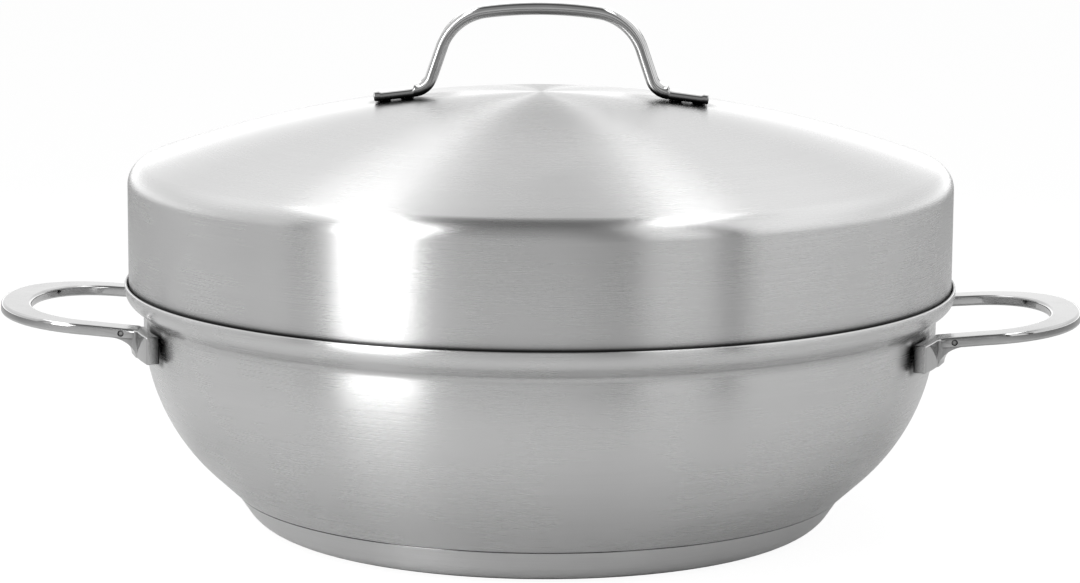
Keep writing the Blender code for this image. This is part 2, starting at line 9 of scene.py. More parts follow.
import bmesh
import bpy
from bmesh import ops
from bmesh.types import BMEdge, BMesh, BMVert
from mathutils import Matrix, Vector


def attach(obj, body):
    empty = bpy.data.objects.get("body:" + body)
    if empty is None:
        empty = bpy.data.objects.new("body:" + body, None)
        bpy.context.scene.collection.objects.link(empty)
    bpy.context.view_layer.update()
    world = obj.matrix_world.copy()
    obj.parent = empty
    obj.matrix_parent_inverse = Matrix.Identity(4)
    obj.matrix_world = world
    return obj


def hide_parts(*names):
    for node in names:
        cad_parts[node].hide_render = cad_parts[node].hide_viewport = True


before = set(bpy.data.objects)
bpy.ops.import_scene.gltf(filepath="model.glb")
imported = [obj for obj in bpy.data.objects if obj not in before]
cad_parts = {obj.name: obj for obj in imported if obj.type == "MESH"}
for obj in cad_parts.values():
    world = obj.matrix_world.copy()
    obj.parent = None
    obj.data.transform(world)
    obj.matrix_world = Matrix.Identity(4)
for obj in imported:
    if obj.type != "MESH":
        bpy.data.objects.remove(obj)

log = logging.getLogger("smoker")

Point = tuple[float, float]
Piece = bpy.types.Object
Node = bpy.types.Node
Tree = bpy.types.NodeTree
Socket = bpy.types.NodeSocket

WELD = 1e-6
SHARP = radians(50)
QUARTER = pi / 2
# The dark grey of the shade painted into gaps and crevices.
PAINTED_SHADE_GREY = 0.05


class Body(Enum):
    """The moving parts that a piece can ride on."""

    PAN = "pan"
    TRAY = "drip_tray"
    RACK = "rack"
    LID = "lid"


class Slot(Enum):
    """The record's material slots."""

    BRUSHED = "brushed_steel"
    POLISHED = "polished_steel"
    TRAY = "tray_steel"
    WIRE = "rack_wire"


# Drawing


@dataclass
class Contour:
    """A line that runs straight and bends, to the left where a turn is positive. It keeps its heading."""

    x: float
    y: float
    heading: float
    stations: list[tuple[float, float, float]] = field(default_factory=list)

    def __post_init__(self) -> None:
        """Keeps the starting point as the first station."""
        self._note()

    def _note(self) -> None:
        """Keeps the present place as a station."""
        self.stations.append((self.x, self.y, self.heading))

    def run(self, length: float) -> None:
        """Goes straight on.

        Args:
            length: how far, in metres.
        """
        self.x += length * cos(self.heading)
        self.y += length * sin(self.heading)
        self._note()

    def bend(self, radius: float, turn: float, steps: int) -> None:
        """Follows an arc.

        Args:
            radius: of the arc.
            turn: the change of heading.
            steps: chords in it.
        """
        side = copysign(radius, turn)
        middle_x = self.x - side * sin(self.heading)
        middle_y = self.y + side * cos(self.heading)
        for _ in range(steps):
            self.heading += turn / steps
            self.x = middle_x + side * sin(self.heading)
            self.y = middle_y - side * cos(self.heading)
            self._note()

    def beside(self, distance: float) -> list[Point]:
        """The same line, moved to the left by a distance."""
        return [(x - distance * sin(h), y + distance * cos(h)) for x, y, h in self.stations]

    def shell(self, wall: float, rounding: int, edge_first: bool = True) -> list[Point]:
        """The section of a sheet whose outer face is this line, with its free edge rounded.

        Args:
            wall: the sheet's thickness, to the right of the line.
            rounding: chords round the free edge.
            edge_first: whether the line starts at the free edge, and otherwise ends there.

        Returns:
            Points along the outer face to the free edge, round it, and back along the inner face.
        """
        outer, inner = self.beside(0), self.beside(-wall)
        index, sign = (0, 1) if edge_first else (-1, -1)
        x, y, heading = self.stations[index]
        radius = wall / 2
        middle = (x + radius * sin(heading), y - radius * cos(heading))
        angles = [heading + QUARTER + sign * pi * step / rounding for step in range(1, rounding)]
        edge = [(middle[0] + radius * cos(a), middle[1] + radius * sin(a)) for a in angles]
        return outer[::-1] + edge + inner if edge_first else outer + edge + inner[::-1]


def rounded(before: Vector, corner: Vector, after: Vector, radius: float) -> list[Point]:
    """Points that round the corner between two straight runs.

    Args:
        before: a point on the first run.
        corner: where the runs would meet.
        after: a point on the second run.
        radius: of the rounding.

    Returns:
        The points, from the first run to the second.
    """
    back, on = (before - corner).normalized(), (after - corner).normalized()
    half = back.angle(on) / 2
    reach = radius / tan(half)
    middle = corner + (back + on).normalized() * radius / sin(half)
    start = corner + back * reach - middle
    turn = start.angle_signed(corner + on * reach - middle)
    points, steps = [], 8
    for step in range(steps + 1):
        spoke = start.copy()
        spoke.rotate(Matrix.Rotation(-turn * step / steps, 2))
        points.append(tuple(middle + spoke))
    return points


# Mesh work


def smooth_mesh(mesh: bpy.types.Mesh, degrees: float = 32.0) -> None:
    """Shades a mesh smooth, apart from the edges that are sharper than an angle."""
    mesh.shade_smooth()
    mesh.set_sharp_from_angle(angle=radians(degrees))


def placed(name: str, data: bpy.types.ID) -> Piece:
    """Makes an object and links it to the scene.

    Args:
        name: of the object.
        data: its mesh, lamp or camera.

    Returns:
        The object, at the origin.
    """
    item = bpy.data.objects.new(name, data)
    bpy.context.scene.collection.objects.link(item)
    return item


def object_from(shape: BMesh, name: str, place: Matrix = Matrix()) -> Piece:
    """Makes a smooth object of a shape.

    Args:
        shape: the finished shape, which is freed.
        name: of the object and its mesh.
        place: where the shape goes, while the object's origin stays.

    Returns:
        The object.
    """
    mesh = bpy.data.meshes.new(name)
    shape.to_mesh(mesh)
    shape.free()
    mesh.transform(place)
    smooth_mesh(mesh)
    return placed(name, mesh)


def edges_among(items: list) -> list[BMEdge]:
    """The edges among what an operator made."""
    return [item for item in items if isinstance(item, BMEdge)]


def corners_of(edges: list[BMEdge]) -> list[BMVert]:
    """The corners that some edges run between, each once."""
    return list({vert for edge in edges for vert in edge.verts})


def sharp_edges(shape: BMesh) -> list[BMEdge]:
    """The edges of a shape that are sharp enough to be rounded."""
    return [edge for edge in shape.edges if edge.calc_face_angle(0) > SHARP]


def round_off(shape: BMesh, edges: list[BMEdge], radius: float, segments: int = 3) -> None:
    """Rounds some edges of a shape.

    Args:
        shape: what they belong to.
        edges: that are rounded.
        radius: of the rounding.
        segments: in it.
    """
    ops.bevel(
        shape, geom=edges, offset=radius, offset_type="OFFSET", segments=segments, profile=0.5,
        affect="EDGES", clamp_overlap=True, material=-1,
    )


def lathe(chain: list[Point], steps: int = 256) -> BMesh:
    """Turns a chain of (radius, height) points round the Z axis.

    Args:
        chain: the points, from axis to axis or round to the first again.
        steps: flats round the piece.

    Returns:
        The welded shape, with its faces outwards.
    """
    shape = bmesh.new()
    points = [shape.verts.new((radius, 0, height)) for radius, height in chain]
    edges = [shape.edges.new(pair) for pair in zip(points, points[1:])]
    ops.spin(
        shape, geom=points + edges, cent=(0, 0, 0), axis=(0, 0, 1), dvec=(0, 0, 0), angle=tau,
        steps=steps, use_merge=True, use_duplicate=False,
    )
    ops.remove_doubles(shape, verts=shape.verts, dist=WELD)
    ops.recalc_face_normals(shape, faces=shape.faces)
    return shape


def slab(outline: list[Point], thickness: float, edge: float = 0.0, segments: int = 3) -> BMesh:
    """A flat outline with a thickness about its own plane, and its edges rounded.

    Args:
        outline: its points, in order.
        thickness: half on each side of the XY plane.
        edge: radius of the rounded edges, or 0.
        segments: in each of them.

    Returns:
        The shape.
    """
    shape = bmesh.new()
    face = shape.faces.new([shape.verts.new((x, y, -thickness / 2)) for x, y in outline])
    top = ops.extrude_face_region(shape, geom=[face], use_keep_orig=True)
    moved = [item for item in top["geom"] if isinstance(item, BMVert)]
    ops.translate(shape, verts=moved, vec=(0, 0, thickness))
    ops.recalc_face_normals(shape, faces=shape.faces)
    if edge:
        round_off(shape, sharp_edges(shape), edge, segments)
    return shape


def rod(radius: float, length: float, sides: int, edge: float = 0.0) -> BMesh:
    """A round rod along its own Z, centred, with its end edges rounded.

    Args:
        radius: of the rod.
        length: of the rod.
        sides: flats round it.
        edge: radius of the rounding at each end, or 0.

    Returns:
        The shape.
    """
    shape = bmesh.new()
    ops.create_cone(shape, cap_ends=True, segments=sides, radius1=radius, radius2=radius, depth=length)
    if edge:
        round_off(shape, sharp_edges(shape), edge)
    return shape


def carved(body: Piece, joins: list[Piece], cuts: list[Piece]) -> Piece:
    """Cuts some objects out of a body, then joins others to it.

    Args:
        body: the object that stays.
        joins: what becomes part of it.
        cuts: what is taken out of it first.

    Returns:
        The body with its new mesh. The others are removed.
    """
    work = [(other, "DIFFERENCE") for other in cuts] + [(other, "UNION") for other in joins]
    for other, operation in work:
        step = body.modifiers.new(operation.title(), "BOOLEAN")
        step.operation = operation
        step.object = other
    graph = bpy.context.evaluated_depsgraph_get()
    mesh = bpy.data.meshes.new_from_object(body.evaluated_get(graph))
    shape = bmesh.new()
    shape.from_mesh(mesh)
    ops.remove_doubles(shape, verts=shape.verts, dist=WELD)
    shape.to_mesh(mesh)
    shape.free()
    body.modifiers.clear()
    body.data = mesh
    smooth_mesh(mesh)
    for other, _ in work:
        bpy.data.objects.remove(other, do_unlink=True)
    return body


def even_normals(piece: Piece) -> None:
    """Lets a piece's large flat faces keep their own normals up to its rounded edges.

    Args:
        piece: the piece.
    """
    weights = piece.modifiers.new("Even normals", "WEIGHTED_NORMAL")
    weights.mode = "FACE_AREA"
    weights.weight = 100
    weights.keep_sharp = True


class Drawn:
    """A bar or wire that is drawn along runs and bends in the XZ plane."""

    def __init__(self, section: BMesh, start: Vector, heading: float = 0.0, thickness: float = 0.0) -> None:
        """Takes hold of the rim of the section.

        Args:
            section: the first section, in place, which grows to the whole bar.
            start: its middle.
            heading: where it sets out to, in radians up from X.
            thickness: of the bar, in the plane of the path, if it is pressed.
        """
        self.shape = section
        self.here = start.copy()
        self.heading = heading
        self.thickness = thickness
        self.press = 0.0
        self.rim = list(section.edges)

    def _left(self) -> Vector:
        """The direction to the left of the heading."""
        return Vector((-sin(self.heading), 0, cos(self.heading)))

    def run(self, length: float, press: float | None = None) -> None:
        """Draws the bar straight on.

        Args:
            length: how far.
            press: how much its outer side is pressed in by the end of the run, or None to leave it.
        """
        self.rim = edges_among(ops.extrude_edge_only(self.shape, edges=self.rim)["geom"])
        step = Vector((cos(self.heading), 0, sin(self.heading))) * length
        ops.translate(self.shape, verts=corners_of(self.rim), vec=step)
        self.here += step
        if press is not None:
            out = self._left()
            inner = self.here - out * self.thickness / 2
            ratio = (self.thickness - press) / (self.thickness - self.press)
            for vert in corners_of(self.rim):
                vert.co += out * (vert.co - inner).dot(out) * (ratio - 1)
            self.press = press

    def bend(self, radius: float, turn: float, steps: int) -> None:
        """Draws the bar round an arc.

        Args:
            radius: of its middle line.
            turn: the change of heading, positive to the left.
            steps: sections along the arc.
        """
        side = copysign(radius, turn)
        middle = self.here + self._left() * side
        grown = ops.spin(
            self.shape, geom=corners_of(self.rim) + self.rim, cent=middle, axis=(0, -1, 0), dvec=(0, 0, 0),
            angle=turn, steps=steps, use_merge=False, use_duplicate=False,
        )
        self.rim = edges_among(grown["geom_last"])
        self.heading += turn
        self.here = middle - self._left() * side

    def close(self, edge: float = 0.0) -> None:
        """Closes the far end with a face and rounds its edge.

        Args:
            edge: radius of the rounding, or 0.
        """
        face = ops.contextual_create(self.shape, geom=self.rim)["faces"][0]
        if edge:
            round_off(self.shape, list(face.edges), edge)

    def doubled(self) -> None:
        """Mirrors the bar about the YZ plane and welds both halves."""
        everything = list(self.shape.verts) + list(self.shape.edges) + list(self.shape.faces)
        ops.mirror(self.shape, geom=everything, matrix=Matrix.Identity(4), merge_dist=1e-5, axis="X")

    def finished(self, name: str) -> Piece:
        """Turns the bar's faces outwards and makes an object of it."""
        ops.recalc_face_normals(self.shape, faces=self.shape.faces)
        return object_from(self.shape, name)


# Finishes


@dataclass(frozen=True)
class Ramp:
    """A number that changes evenly from first to last while another goes from low to high, and holds outside."""

    low: float
    high: float
    first: float = 0.0
    last: float = 1.0


class Nodes:
    """Short ways to build a shader tree."""

    def __init__(self, tree: Tree) -> None:
        """Keeps the tree that is built."""
        self.tree = tree

    def link(self, source: Socket, target: Socket) -> None:
        """Leads an output to an input."""
        self.tree.links.new(source, target)

    def add(self, kind: str, inputs: dict | None = None, **settings: object) -> Node:
        """Adds a node.

        Args:
            kind: the node's type.
            inputs: a value or a socket for each input, by name or index.
            settings: properties of the node.

        Returns:
            The new node.
        """
        node = self.tree.nodes.new(kind)
        for key, value in settings.items():
            setattr(node, key, value)
        for key, value in (inputs or {}).items():
            if isinstance(value, Socket):
                self.link(value, node.inputs[key])
            else:
                node.inputs[key].default_value = value
        return node

    def maths(self, operation: str, *values: object) -> Socket:
        """The result of a Math node on numbers or sockets."""
        return self.add("ShaderNodeMath", dict(enumerate(values)), operation=operation).outputs[0]

    def vector(self, operation: str, *values: object) -> Node:
        """A Vector Math node on vectors or sockets."""
        return self.add("ShaderNodeVectorMath", dict(enumerate(values)), operation=operation)

    def spread(self, value: Socket, ramp: Ramp) -> Socket:
        """Sends a value through a ramp."""
        inputs = {0: value, 1: ramp.low, 2: ramp.high, 3: ramp.first, 4: ramp.last}
        return self.add("ShaderNodeMapRange", inputs).outputs[0]

    def mix(self, factor: object, first: object, second: object) -> Socket:
        """The mix of two numbers by a factor."""
        return self.add("ShaderNodeMix", {0: factor, 2: first, 3: second}, data_type="FLOAT").outputs[0]

    def blend(self, factor: object, first: object, second: object) -> Socket:
        """The mix of two colours by a factor."""
        return self.add("ShaderNodeMix", {0: factor, 6: first, 7: second}, data_type="RGBA").outputs[2]

    def weighed(self, first: Socket, share: float, second: Socket, rest: float) -> Socket:
        """The sum of two numbers, each times its share."""
        return self.maths("ADD", self.maths("MULTIPLY", first, share), self.maths("MULTIPLY", second, rest))

    def group(self, tree: Tree, inputs: dict[str, object]) -> Node:
        """A node for a group, with these inputs."""
        return self.add("ShaderNodeGroup", inputs, node_tree=tree)

    def noise(self, where: Socket, scale: object, detail: float, roughness: float, **more: object) -> Socket:
        """Adds a noise.

        Args:
            where: the position.
            scale: how fine it is.
            detail: how many finer noises lie on it.
            roughness: how strong those are.
            more: other inputs of the node.

        Returns:
            The noise's value, about 0 to 1.
        """
        inputs = {"Vector": where, "Scale": scale, "Detail": detail, "Roughness": roughness, **more}
        kind = "4D" if "W" in more else "3D"
        return self.add("ShaderNodeTexNoise", inputs, noise_dimensions=kind).outputs[0]


def new_group(name: str, inputs: dict[str, float | str], outputs: list[str]) -> tuple[Nodes, Node, Node]:
    """Starts a node group.

    Args:
        name: the group's name.
        inputs: each input's default, or "vector" for a vector.
        outputs: names of its values.

    Returns:
        Its node builder, input node and output node.
    """
    tree = bpy.data.node_groups.new(name, "ShaderNodeTree")
    for label, value in inputs.items():
        kind = "NodeSocketVector" if value == "vector" else "NodeSocketFloat"
        socket = tree.interface.new_socket(label, in_out="INPUT", socket_type=kind)
        if value != "vector":
            socket.default_value = value
    for label in outputs:
        tree.interface.new_socket(label, in_out="OUTPUT", socket_type="NodeSocketFloat")
    return Nodes(tree), tree.nodes.new("NodeGroupInput"), tree.nodes.new("NodeGroupOutput")


@cache
def brushing_group() -> Tree:
    """Fine lines that run round the axis, as a belt leaves them on a turned shell.

    Returns:
        A group from a position to Lines, Bands and Smudge, each about 0 to 1.
    """
    nodes, given, result = new_group(
        "Turned brushing", {"Position": "vector", "Lines per metre": 1600.0, "Length": 5.0},
        ["Lines", "Bands", "Smudge"],
    )
    position = given.outputs["Position"]
    flat = nodes.vector("MULTIPLY", position, (1, 1, 0)).outputs[0]
    radius = nodes.vector("LENGTH", flat).outputs["Value"]
    towards = nodes.add("ShaderNodeSeparateXYZ", {0: nodes.vector("NORMALIZE", flat).outputs[0]})
    height = nodes.add("ShaderNodeSeparateXYZ", {0: position}).outputs["Z"]
    for label, share, reach, detail in (("Lines", 1.0, 1.0, 4.0), ("Bands", 0.07, 0.35, 2.0)):
        pitch = nodes.maths("MULTIPLY", given.outputs["Lines per metre"], share)
        length = nodes.maths("MULTIPLY", given.outputs["Length"], reach)
        across, up = nodes.maths("MULTIPLY", radius, pitch), nodes.maths("MULTIPLY", height, pitch)
        round_x, round_y = (nodes.maths("MULTIPLY", towards.outputs[axis], length) for axis in "XY")
        where = nodes.add("ShaderNodeCombineXYZ", {0: across, 1: up, 2: round_x}).outputs[0]
        noise = nodes.noise(where, scale=1.0, detail=detail, roughness=0.6, W=round_y)
        nodes.link(nodes.spread(noise, Ramp(0.25, 0.75)), result.inputs[label])
    smudge = nodes.noise(position, scale=22.0, detail=3.0, roughness=0.55)
    nodes.link(nodes.spread(smudge, Ramp(0.35, 0.68)), result.inputs["Smudge"])
    return nodes.tree


@cache
def handling_group() -> Tree:
    """Hairlines and faint finger haze, as handling leaves them on polished metal.

    Returns:
        A group from a position to Hairlines and Haze, each about 0 to 1.
    """
    nodes, given, result = new_group(
        "Handling marks", {"Position": "vector", "Fineness": 900.0}, ["Hairlines", "Haze"]
    )
    position = given.outputs["Position"]
    drawn_out = {"Vector": position, "Rotation": (0.4, 0.7, 0.2), "Scale": (1.0, 0.06, 0.5)}
    where = nodes.add("ShaderNodeMapping", drawn_out).outputs[0]
    lines = nodes.noise(where, given.outputs["Fineness"], detail=3.0, roughness=0.7)
    haze = nodes.noise(position, scale=60.0, detail=3.0, roughness=0.6)
    nodes.link(nodes.spread(lines, Ramp(0.45, 0.75)), result.inputs["Hairlines"])
    nodes.link(nodes.spread(haze, Ramp(0.4, 0.7)), result.inputs["Haze"])
    return nodes.tree


@cache
def painted_shade_group() -> Tree:
    """Painted shade: ambient occlusion darkens the metal's colour down in narrow gaps and crevices, where shade
    falls.

    Returns:
        A group from the painted shade's reach in metres, as Width, to Unshaded, 0 in a gap and 1 outside it.
    """
    nodes, given, result = new_group("Painted crevice shade", {"Width": 0.0045}, ["Open"])
    near = nodes.add("ShaderNodeAmbientOcclusion", {"Distance": given.outputs["Width"]})
    nodes.link(nodes.spread(near.outputs["AO"], Ramp(0.72, 0.97)), result.inputs["Open"])
    return nodes.tree


def grey(level: float) -> tuple[float, float, float, float]:
    """A neutral grey of a brightness from 0 to 1, as a node's colour."""
    return (level, level, level, 1.0)


@dataclass(frozen=True)
class Steel:
    """A bare metal with lighter or darker marks on it. Shade is painted darker into its gaps, up to a width in
    metres.
    """

    name: str
    bare: float
    marked: float
    smooth: float
    rough: float
    relief: float
    depth: float
    anisotropy: float = 0.0
    gaps: float = 0.0045

    def marks(self, nodes: Nodes, shader: Node, where: Socket) -> tuple[Socket, Socket, Socket]:
        """Lays the marks.

        Args:
            nodes: the material's node builder.
            shader: its shader node.
            where: the position on the piece.

        Returns:
            How marked the metal is, how rough and how high, each about 0 to 1.
        """
        raise NotImplementedError

    @cache
    def material(self) -> bpy.types.Material:
        """Builds the material when it is first needed.

        Returns:
            The one material of this finish.
        """
        material = bpy.data.materials.new(self.name)
        material.use_nodes = True
        nodes = Nodes(material.node_tree)
        shader = nodes.tree.nodes["Principled BSDF"]
        shader.inputs["Metallic"].default_value = 1.0
        shader.inputs["Anisotropic"].default_value = self.anisotropy
        tone, gloss, grain = self.marks(nodes, shader, nodes.add("ShaderNodeTexCoord").outputs["Object"])
        near = nodes.group(painted_shade_group(), {"Width": self.gaps}).outputs["Open"]
        # Painted shade: the colour turns to a dark grey where ambient occlusion finds a narrow gap.
        colour = nodes.blend(near, grey(PAINTED_SHADE_GREY), nodes.blend(tone, grey(self.bare), grey(self.marked)))
        bump = nodes.add("ShaderNodeBump", {"Strength": self.relief, "Distance": self.depth, "Height": grain})
        nodes.link(colour, shader.inputs["Base Color"])
        nodes.link(nodes.spread(gloss, Ramp(0.0, 1.0, self.smooth, self.rough)), shader.inputs["Roughness"])
        nodes.link(bump.outputs[0], shader.inputs["Normal"])
        return material


@dataclass(frozen=True)
class TurnedSteel(Steel):
    """Stainless steel brushed in circles round the piece's axis."""

    bare: float = 0.56
    marked: float = 0.595
    smooth: float = 0.25
    rough: float = 0.30
    relief: float = 0.22
    depth: float = 0.00008
    anisotropy: float = 0.95
    lines: float = 3000.0
    length: float = 4.0

    def marks(self, nodes: Nodes, shader: Node, where: Socket) -> tuple[Socket, Socket, Socket]:
        """Lays the brushing, and draws the highlights out across it.

        Args:
            nodes: the material's node builder.
            shader: its shader node.
            where: the position on the piece.

        Returns:
            The brushing's tone, roughness and height.
        """
        tangent = nodes.add("ShaderNodeTangent", direction_type="RADIAL", axis="Z")
        nodes.link(tangent.outputs[0], shader.inputs["Tangent"])
        shader.inputs["Anisotropic Rotation"].default_value = 0.25
        brushing = {"Position": where, "Lines per metre": self.lines, "Length": self.length}
        lines, bands, smudge = nodes.group(brushing_group(), brushing).outputs
        return nodes.weighed(lines, 0.6, bands, 0.4), nodes.weighed(smudge, 0.5, lines, 0.5), lines


@dataclass(frozen=True)
class PolishedSteel(Steel):
    """Stainless steel polished after forming, with the marks of handling."""

    bare: float = 0.50
    marked: float = 0.42
    smooth: float = 0.07
    rough: float = 0.15
    relief: float = 0.05
    depth: float = 0.00005
    fineness: float = 900.0

    def marks(self, nodes: Nodes, shader: Node, where: Socket) -> tuple[Socket, Socket, Socket]:
        """Lays the marks of handling.

        Args:
            nodes: the material's node builder.
            shader: its shader node.
            where: the position on the piece.

        Returns:
            The marks' tone, roughness and height.
        """
        handling = {"Position": where, "Fineness": self.fineness}
        hairlines, haze = nodes.group(handling_group(), handling).outputs
        return haze, nodes.weighed(haze, 0.6, hairlines, 0.4), hairlines


class Finish(Enum):
    """The finishes of this smoker."""

    # gaps: how far the painted shade in gaps and crevices reaches, in metres.
    PAN = TurnedSteel("pan brushed steel", gaps=0.003)
    LID = TurnedSteel("lid brushed steel", lines=2800.0, gaps=0.012)
    BASE = TurnedSteel("base brushed steel", bare=0.60, marked=0.68, smooth=0.26, rough=0.36, gaps=0.0015)
    TRAY = TurnedSteel("tray satin steel", smooth=0.3, rough=0.44, anisotropy=0.6)
    HANDLE = PolishedSteel("handle polished steel")
    WIRE = PolishedSteel("rack bright wire", bare=0.68, marked=0.58, smooth=0.1, rough=0.22)
    CORE = PolishedSteel("core aluminium", bare=0.66, marked=0.56, smooth=0.35, rough=0.5)


def dress(piece: Piece, finish: Finish) -> None:
    """Puts a finish on a piece."""
    piece.data.materials.clear()
    piece.data.materials.append(finish.value.material())


def settle(piece: Piece, finish: Finish, body: Body, slot: Slot, *nodes: str) -> None:
    """Finishes a piece and fixes it to its body.

    Args:
        piece: in place.
        finish: what it is made of.
        body: what it moves with.
        slot: the record's slot for it, which is not used.
        nodes: the CAD nodes that it stands for.
    """
    dress(piece, finish)
    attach(piece, body.value)
    if nodes:
        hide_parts(*nodes)
    log.info("%s: %d faces, rides on %s", piece.name, len(piece.data.polygons), body.value)


# The pan


@dataclass
class Base:
    """The sandwich base under the pan."""

    height: float = 0.0117
    wall: float = 0.0008
    lean: float = radians(33.8)
    fillet: float = 0.014
    inset: float = 0.0002

    def build(self, edge_radius: float) -> None:
        """Makes the pressed cap and dresses the core that it hides.

        Args:
            edge_radius: the pan's own radius where its flank reaches the base.
        """
        slope = QUARTER + self.lean
        rounding = self.fillet * (1 - sin(self.lean))
        side = Contour(edge_radius - self.inset, self.height, -slope)
        side.run((self.height - rounding) / cos(self.lean))
        side.bend(self.fillet, slope - pi, 12)
        side.run(side.x)
        cap = object_from(lathe(side.shell(self.wall, 2)), "base_cap_turned")
        settle(cap, Finish.BASE, Body.PAN, Slot.BRUSHED, "base_cap")
        dress(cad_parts["base_core_disc"], Finish.CORE)


@dataclass
class PanBody:
    """The deep bowl with its flared lip."""

    clearance: float = 0.0003
    wall: float = 0.0009
    radius: float = 0.1364
    curve: float = 0.068
    sweep: float = radians(47.3)
    flank_rise: float = 0.0085
    corner: float = 0.0015
    upright: float = 0.0028
    lip_step: float = 0.0064
    lip_lean: float = radians(52)
    lip_hollow: float = 0.003
    lip_round: float = 0.006
    lip_collar: float = 0.0013
    base: Base = field(default_factory=Base)

    @property
    def bowl_height(self) -> float:
        """Height of the middle of the bowl's arc."""
        underside = self.base.height + self.clearance
        return underside + self.flank_rise + self.curve * sin(self.sweep)

    @property
    def flank_foot(self) -> float:
        """Radius where the flank would reach the underside."""
        return self.radius - self.curve + self.curve * cos(self.sweep) - self.flank_rise * tan(self.sweep)

    @property
    def flare_run(self) -> float:
        """Length of the straight flare between its two bends."""
        bends = (self.lip_hollow + self.lip_round) * (1 - cos(self.lip_lean))
        return (self.lip_step - bends) / sin(self.lip_lean)

    @property
    def lip_height(self) -> float:
        """Height of the middle of the lip's round."""
        rise = (self.lip_hollow + self.lip_round) * sin(self.lip_lean)
        return self.bowl_height + self.upright + rise + self.flare_run * cos(self.lip_lean)

    @property
    def lip_top(self) -> float:
        """Height of the lip's edge."""
        return self.lip_height + self.lip_collar

    @property
    def lip_radius(self) -> float:
        """Radius of the lip's edge."""
        return self.radius + self.lip_step

    def outer_radius(self, below: float) -> float:
        """Radius of the bowl's outer face at a depth below the middle of its arc."""
        return self.radius - self.curve + sqrt(self.curve**2 - below**2)

    def seat_radius(self, height: float, half: float = 0.0) -> float:
        """Radius where something rests against the bowl's inner face.

        Args:
            height: of what rests there.
            half: half its thickness, if it is a wire.

        Returns:
            The radius of its edge, or of a wire's middle.
        """
        reach = self.curve - self.wall - self.clearance - half
        return self.radius - self.curve + sqrt(reach**2 - (self.bowl_height - height) ** 2)

    def build(self) -> None:
        """Makes the turned body and its base."""
        side = Contour(self.lip_radius, self.lip_top, -QUARTER)
        side.run(self.lip_collar)
        side.bend(self.lip_round, -self.lip_lean, 10)
        side.run(self.flare_run)
        side.bend(self.lip_hollow, self.lip_lean, 8)
        side.run(self.upright)
        side.bend(self.curve, -self.sweep, 30)
        turn = QUARTER - self.sweep
        side.run(self.flank_rise / cos(self.sweep) - self.corner * tan(turn / 2))
        side.bend(self.corner, -turn, 5)
        side.run(side.x)
        body = object_from(lathe(side.shell(self.wall, 6)), "pan_body_turned")
        settle(body, Finish.PAN, Body.PAN, Slot.BRUSHED, "pan_body")
        self.base.build(self.flank_foot)


